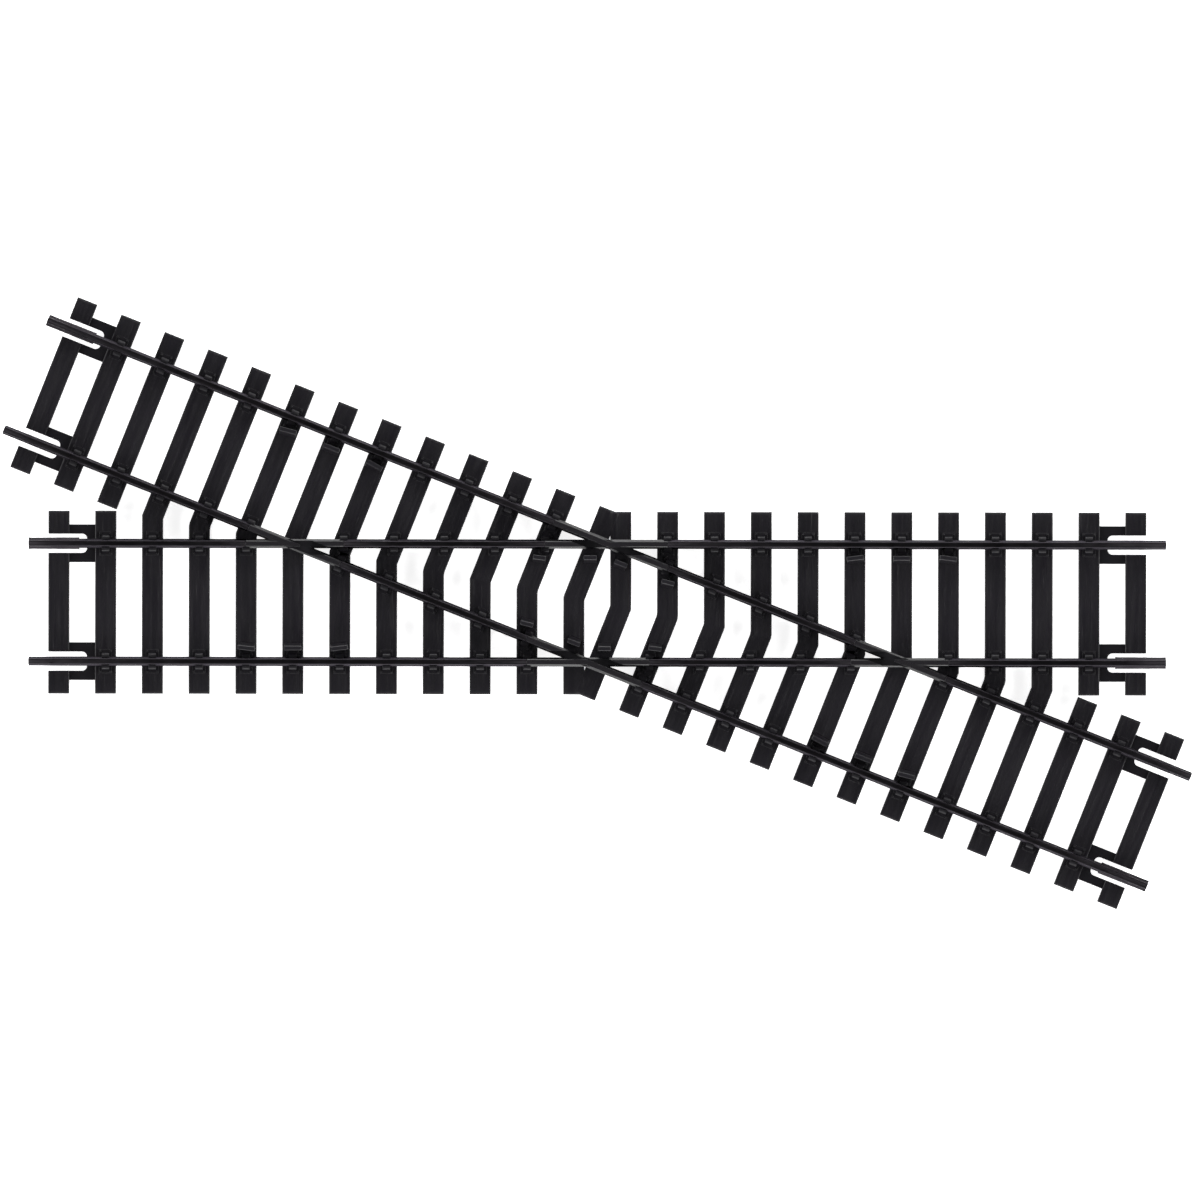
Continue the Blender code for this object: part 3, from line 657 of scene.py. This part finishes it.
def make_end_frames(material):
    """Bars that join the last two sleepers round each joiner pocket."""
    bm = bmesh.new()
    for track in TRACKS:
        last = (SLEEPER_COUNT[track] - 0.5) * PITCH
        inside = last - PITCH + SLEEPER_WIDTH / 2 - WALL_BITE
        mouth = last - SLEEPER_WIDTH / 2
        back = mouth - POCKET_BACK
        rim = []
        for step in range(7):
            angle = math.radians(90 * step / 6)
            u = back + POCKET_CORNER * (1 - math.sin(angle))
            v = POCKET_HALF_WIDTH - POCKET_CORNER * (1 - math.cos(angle))
            rim.append((u, v))
        mouth += WALL_BITE
        half = [(inside, FRAME_HALF_WIDTH), (mouth, FRAME_HALF_WIDTH), (mouth, POCKET_HALF_WIDTH)] + rim
        outline = half + [(u, -v) for u, v in reversed(half)]
        for side in SIDES.values():
            moved = [(u, v + side * RAIL_OFFSET) for u, v in outline]
            for placed in (FRAME_OF[track], HALF_TURN @ FRAME_OF[track]):
                block(bm, moved, FRAME_BOTTOM, FRAME_HEIGHT, placed)
    return piece(bm, "look_end_frames", "crossing", [material], "base_plastic", bevel=0.06 * MM)


# ---------------------------------------------------------------- chairs and guards


def make_chairs(material):
    """A bolted chair at each rail seat: a plate each side of the foot, a jaw over it and two bolts."""
    bm = bmesh.new()
    jaw = [(0.72, 2.05), (1.28, 2.05), (1.10, 2.42), (0.95, 2.50)]
    jaw += [(0.50, 2.50), (0.50, 2.345), (0.72, 2.25)]
    jaw = [(v * MM, z * MM) for v, z in jaw]
    long_plate = rectangle((-0.95 * MM, 0.95 * MM), (PLATE_INNER, 1.75 * MM))
    short_plate = rectangle((-0.8 * MM, 0.8 * MM), (PLATE_INNER, 1.3 * MM))
    for track in TRACKS:
        for side in SIDES.values():
            for place in seats(track, side)[1:-1]:
                for hand in (1, -1):
                    seat = Matrix.Translation((place, side * RAIL_OFFSET, 0))
                    placed = FRAME_OF[track] @ seat @ Matrix.Diagonal((1, hand, 1, 1))
                    if not clear_by(track, side, placed @ Vector((0, 0.9 * MM, 0)), CLIP_ROOM):
                        continue
                    bar(bm, jaw, -JAW_HALF_LENGTH, JAW_HALF_LENGTH, placed)
                    corners = [placed @ Vector((u, v, 0)) for u, v in long_plate[2:]]
                    if all(clear_by(track, side, corner, BOLT_ROOM) for corner in corners):
                        block(bm, long_plate, MOULDED_BOTTOM, PLATE_TOP, placed)
                        for u in (-BOLT_SPREAD, BOLT_SPREAD):
                            add_bolt(bm, placed @ Matrix.Translation((u, BOLT_OFFSET, 0)))
                    else:
                        block(bm, short_plate, MOULDED_BOTTOM, PLATE_TOP, placed)
    return piece(bm, "look_chairs", "crossing", [material], "base_plastic", bevel=0.03 * MM)


def add_bolt(bm, placed):
    """A square-headed chair screw with its round collar."""
    collar = [(0.17 * MM * math.cos(a), 0.17 * MM * math.sin(a)) for a in spans(0, math.tau, 0.79)[:-1]]
    block(bm, collar, 2.10 * MM, 2.26 * MM, placed)
    head = rectangle((-0.09 * MM, 0.09 * MM), (-0.09 * MM, 0.09 * MM))
    block(bm, head, 2.20 * MM, 2.40 * MM, placed @ Matrix.Rotation(0.4, 4, "Z"))


def add_guard(bm, track, u, side, length, flare=0.0):
    """A guard block a flangeway inside a running face, with a foot behind it."""
    profile = [
        (0.0, 1.85),
        (0.0, 4.44),
        (0.06, 4.52),
        (0.60, 4.52),
        (0.70, 4.42),
        (0.70, 2.9),
        (1.10, 2.2),
        (1.10, 1.85),
    ]
    face = side * (GAUGE / 2 - FLANGEWAY)
    shaped = [(-side * v * MM, z * MM) for v, z in profile]
    turned = Matrix.Translation((u, face, 0)) @ Matrix.Rotation(flare, 4, "Z")
    bar(bm, shaped, -length / 2, length / 2, FRAME_OF[track] @ turned)


def make_guards(material):
    """Guard blocks opposite each acute frog and inside each obtuse frog, one block per sleeper."""
    bm = bmesh.new()
    for track in TRACKS:
        for side in SIDES.values():
            frog = vertex_u(track, side, "acute")
            guarded = seats(track, -side)
            index = guarded.index(min(guarded, key=lambda place: abs(place - frog)))
            for step in (-1, 0, 1):
                flare = step * side * GUARD_FLARE
                add_guard(bm, track, guarded[index + step], -side, GUARD_LENGTH, flare)
            leaning = -side if track == "main" else side
            tilt = math.tan(CROSSING_ANGLE) * (FLANGEWAY + GUARD_WIDTH / 2 + HEAD_WIDTH / 2)
            limit = vertex_u(track, side, "obtuse") * leaning
            inner = sorted((place for place in seats(track, side) if place * leaning > limit), key=abs)
            for step, place in enumerate(inner[:2]):
                flare = leaning * side * GUARD_FLARE * step
                add_guard(bm, track, place + leaning * tilt, side, GUARD_SKEW_LENGTH, flare)
    return piece(bm, "look_guards", "crossing", [material], "base_plastic", bevel=0.05 * MM)


# ---------------------------------------------------------------- rails, frogs, joiners, wires


def rail_half():
    """Right half of the rail section, in millimetres up from the foot's underside, with its fillets."""
    return [
        (0.000, 0.000),
        (0.655, 0.000),
        (0.685, 0.030),
        (0.685, 0.165),
        (0.662, 0.205),
        (0.330, 0.368),
        (0.262, 0.420),
        (0.230, 0.520),
        (0.225, 1.600),
        (0.240, 1.690),
        (0.300, 1.752),
        (0.430, 1.812),
        (0.455, 1.850),
        (0.455, 2.290),
        (0.442, 2.385),
        (0.402, 2.448),
        (0.330, 2.484),
        (0.180, 2.498),
        (0.000, 2.500),
    ]


def make_rails(metals):
    """Every rail length as a smooth rolled section with its sharp ends just broken."""
    profile = mirrored([(v * MM, z * MM + RAIL_BOTTOM) for v, z in rail_half()])
    centre = RAIL_BOTTOM + RAIL_HEIGHT / 2
    broken = 0.04 * MM
    step = 0.05 * MM
    for name in sorted(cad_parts):
        if not name.startswith("rail_"):
            continue
        _, track, line, _ = name.split("_")
        side = SIDES[line]
        points = [FRAME_OF[track].inverted() @ v.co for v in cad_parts[name].data.vertices]
        start, end = min(p.x for p in points), max(p.x for p in points)
        sections = []
        for u, pull in ((start, broken), (start + step, 0.0), (end - step, 0.0), (end, broken)):
            ring = []
            for v, z in profile:
                inner_v = v - math.copysign(min(abs(v), pull), v)
                inner_z = z - math.copysign(min(abs(z - centre), pull), z - centre)
                ring.append(FRAME_OF[track] @ Vector((u, side * RAIL_OFFSET + inner_v, inner_z)))
            sections.append(ring)
        bm = bmesh.new()
        loft(bm, sections)
        look = piece(bm, "look_" + name, "crossing", [metals[track]], "rail_metal", smooth=40.0)
        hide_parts(name)


def make_frogs(material):
    """Each frog as moulded: the CAD shape with its flat faces cleaned and every edge rounded."""
    for name in sorted(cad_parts):
        if not name.startswith("frog_"):
            continue
        bm = bmesh.new()
        bm.from_mesh(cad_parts[name].data)
        bmesh.ops.remove_doubles(bm, verts=bm.verts, dist=0.002 * MM)
        bmesh.ops.dissolve_limit(bm, angle_limit=math.radians(1.5), verts=bm.verts, edges=bm.edges)
        look = piece(bm, "look_" + name, "crossing", [material], "frog_plastic", bevel=0.035 * MM)
        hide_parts(name)


def joiner_profile(spread):
    """Channel folded round the rail foot, in millimetres across and up, with sloping lips."""
    outer = 0.855 + spread
    inner = outer - 0.15
    half = [
        (0.0, -0.17),
        (outer - 0.14, -0.17),
        (outer - 0.04, -0.13),
        (outer, -0.03),
        (outer, 0.24),
        (outer - 0.03, 0.33),
        (outer - 0.10, 0.385),
        (0.36 + spread, 0.565 + spread / 2),
        (0.33 + spread, 0.530 + spread / 2),
        (0.33 + spread, 0.430 + spread / 2),
        (inner - 0.02, 0.250),
        (inner, 0.215),
        (inner, 0.020),
        (inner - 0.04, -0.02),
        (0.0, -0.02),
    ]
    return half + [(-v, z) for v, z in reversed(half) if v > 0]


def make_joiners(metals):
    """Folded joiners with flared mouths and a pressed stop at mid length."""
    for track in TRACKS:
        for name, turned in ((f"joiner_{track}_east", False), (f"joiner_{track}_west", True)):
            placed = HALF_TURN @ FRAME_OF[track] if turned else FRAME_OF[track]
            end = HALF_LENGTHS[track]
            start = end - JOINER_LENGTH
            middle = (start + end) / 2
            stations = [(start, 0.03), (start + 0.25 * MM, 0.01), (start + 0.6 * MM, 0.0)]
            stations += [(middle - 0.45 * MM, 0.0), (middle - 0.3 * MM, -0.012)]
            stations += [(middle + 0.3 * MM, -0.012), (middle + 0.45 * MM, 0.0)]
            stations += [(end - 0.6 * MM, 0.0), (end - 0.25 * MM, 0.01), (end, 0.03)]
            sections = []
            for u, spread in stations:
                ring = joiner_profile(spread)
                sections.append(
                    [placed @ Vector((u, v * MM - RAIL_OFFSET, z * MM + RAIL_BOTTOM)) for v, z in ring]
                )
            bm = bmesh.new()
            loft(bm, sections)
            look = piece(bm, "look_" + name, name, [metals[track]], "joiner_metal", smooth=40.0)
            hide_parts(name)


def wire_points(start, end, run_z, top_z):
    """A wire's path in u and z: down from one rail foot, along under the base and up to the next."""
    points = [(start, top_z)]
    for corner, sign in ((start, 1), (end, -1)):
        arc = []
        for angle in (math.radians(18 * step) for step in range(6)):
            u = corner + sign * WIRE_BEND * (1 - math.cos(angle))
            arc.append((u, run_z + WIRE_BEND * (1 - math.sin(angle))))
        points += arc if sign > 0 else arc[::-1]
    points.append((end, top_z))
    return points


def make_wires(wire, joint):
    """Round bonding wires with a cone of solder where each end meets a rail foot."""
    for track in TRACKS:
        for line, side in SIDES.items():
            for kind in ("acute", "obtuse"):
                name = f"bond_{track}_{line}_{kind}"
                ends = riser_u(track, side, kind)
                path = wire_points(*ends, WIRE_Z[track], RAIL_BOTTOM - 0.01 * MM)
                sections = []
                for index, (u, z) in enumerate(path):
                    u0, z0 = path[max(index - 1, 0)]
                    u1, z1 = path[min(index + 1, len(path) - 1)]
                    along = Vector((u1 - u0, 0, z1 - z0)).normalized()
                    across = Vector((0, 1, 0))
                    over = along.cross(across)
                    ring = []
                    for angle in spans(0, math.tau, 0.53)[:-1]:
                        offset = (across * math.cos(angle) + over * math.sin(angle)) * WIRE_RADIUS
                        centre = Vector((u, side * RAIL_OFFSET, z))
                        ring.append(FRAME_OF[track] @ (centre + offset))
                    sections.append(ring)
                bm = bmesh.new()
                loft(bm, sections)
                wire_faces = len(bm.faces)
                for u in ends:
                    place = FRAME_OF[track] @ Vector((u, side * RAIL_OFFSET, RAIL_BOTTOM - 0.10 * MM))
                    bead(bm, place, SOLDER_RADIUS, SOLDER_HEIGHT)
                for index, face in enumerate(bm.faces):
                    face.material_index = 0 if index < wire_faces else 1
                look = piece(bm, "look_" + name, "crossing", [wire, joint], "wire_copper", smooth=60.0)
                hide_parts(name)


# ---------------------------------------------------------------- stage, camera and light


def make_stage():
    """A plain white floor just under the crossing."""
    bm = bmesh.new()
    bmesh.ops.create_grid(bm, x_segments=8, y_segments=8, size=FLOOR_REACH)
    mesh = bpy.data.meshes.new("stage_floor")
    bm.to_mesh(mesh)
    bm.free()
    floor = bpy.data.objects.new("stage_floor", mesh)
    floor.location = (0, 0, FLOOR_Z)
    mesh.materials.append(floor_paper("studio_paper"))
    bpy.context.scene.collection.objects.link(floor)


def make_light(name, azimuth, elevation):
    """A square softbox that faces the crossing."""
    data = bpy.data.lights.new(name, "AREA")
    data.shape = "SQUARE"
    data.size = SOFTBOX_SIZE
    data.energy = SOFTBOX_POWER
    light = bpy.data.objects.new(name, data)
    a, e = math.radians(azimuth), math.radians(elevation)
    back = Vector((math.sin(a) * math.cos(e), -math.cos(a) * math.cos(e), math.sin(e)))
    light.location = back * SOFTBOX_DISTANCE
    light.rotation_mode = "QUATERNION"
    light.rotation_quaternion = (-back).to_track_quat("-Z", "Y")
    light.visible_camera = False
    bpy.context.scene.collection.objects.link(light)


def make_lights():
    """Four low softboxes and a faint fill, with a white backdrop that only the camera sees."""
    make_light("softbox_front", 0, 21)
    make_light("softbox_back", 180, 21)
    make_light("softbox_left", -90, 19)
    make_light("softbox_right", 90, 19)
    world = bpy.data.worlds.new("studio")
    world.use_nodes = True
    tree = world.node_tree
    fill = tree.nodes["Background"]
    fill.inputs["Color"].default_value = (1.0, 1.0, 1.0, 1.0)
    fill.inputs["Strength"].default_value = 0.09
    backdrop = tree.nodes.new("ShaderNodeBackground")
    backdrop.inputs["Color"].default_value = (1.0, 1.0, 1.0, 1.0)
    seen = tree.nodes.new("ShaderNodeMixShader")
    rays = tree.nodes.new("ShaderNodeLightPath")
    tree.links.new(rays.outputs["Is Camera Ray"], seen.inputs["Fac"])
    tree.links.new(fill.outputs["Background"], seen.inputs[1])
    tree.links.new(backdrop.outputs["Background"], seen.inputs[2])
    tree.links.new(seen.outputs["Shader"], tree.nodes["World Output"].inputs["Surface"])
    bpy.context.scene.world = world


def make_camera():
    """A long lens straight above, so that the plan is seen almost without perspective."""
    data = bpy.data.cameras.new("camera")
    data.sensor_width = 36.0
    data.lens = 900.0
    data.clip_start = 0.1
    data.clip_end = 20.0
    camera = bpy.data.objects.new("camera", data)
    camera.location = (*CAMERA_PLACE, VIEW_WIDTH * data.lens / data.sensor_width)
    camera.rotation_euler = (0, 0, CAMERA_TURN)
    bpy.context.scene.collection.objects.link(camera)
    bpy.context.scene.camera = camera


def main():
    bpy.context.scene.view_settings.view_transform = "Standard"
    make_camera()
    make_lights()
    make_stage()
    grains = [sleeper_plastic(f"sleeper_grain_{track}", angle) for track, angle in TRACKS.items()]
    plain = plain_plastic("moulded_plastic")
    metals = {track: rail_metal(f"rail_steel_{track}", angle) for track, angle in TRACKS.items()}
    strips = {track: joiner_metal(f"joiner_strip_{track}", angle) for track, angle in TRACKS.items()}
    sleepers = make_sleepers(grains)
    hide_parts("sleeper_base")
    make_webs(plain)
    make_end_frames(plain)
    make_chairs(plain)
    make_guards(plain)
    make_rails(metals)
    make_frogs(frog_plastic("frog_satin"))
    make_joiners(strips)
    make_wires(copper("bare_copper"), solder("soft_solder"))


main()
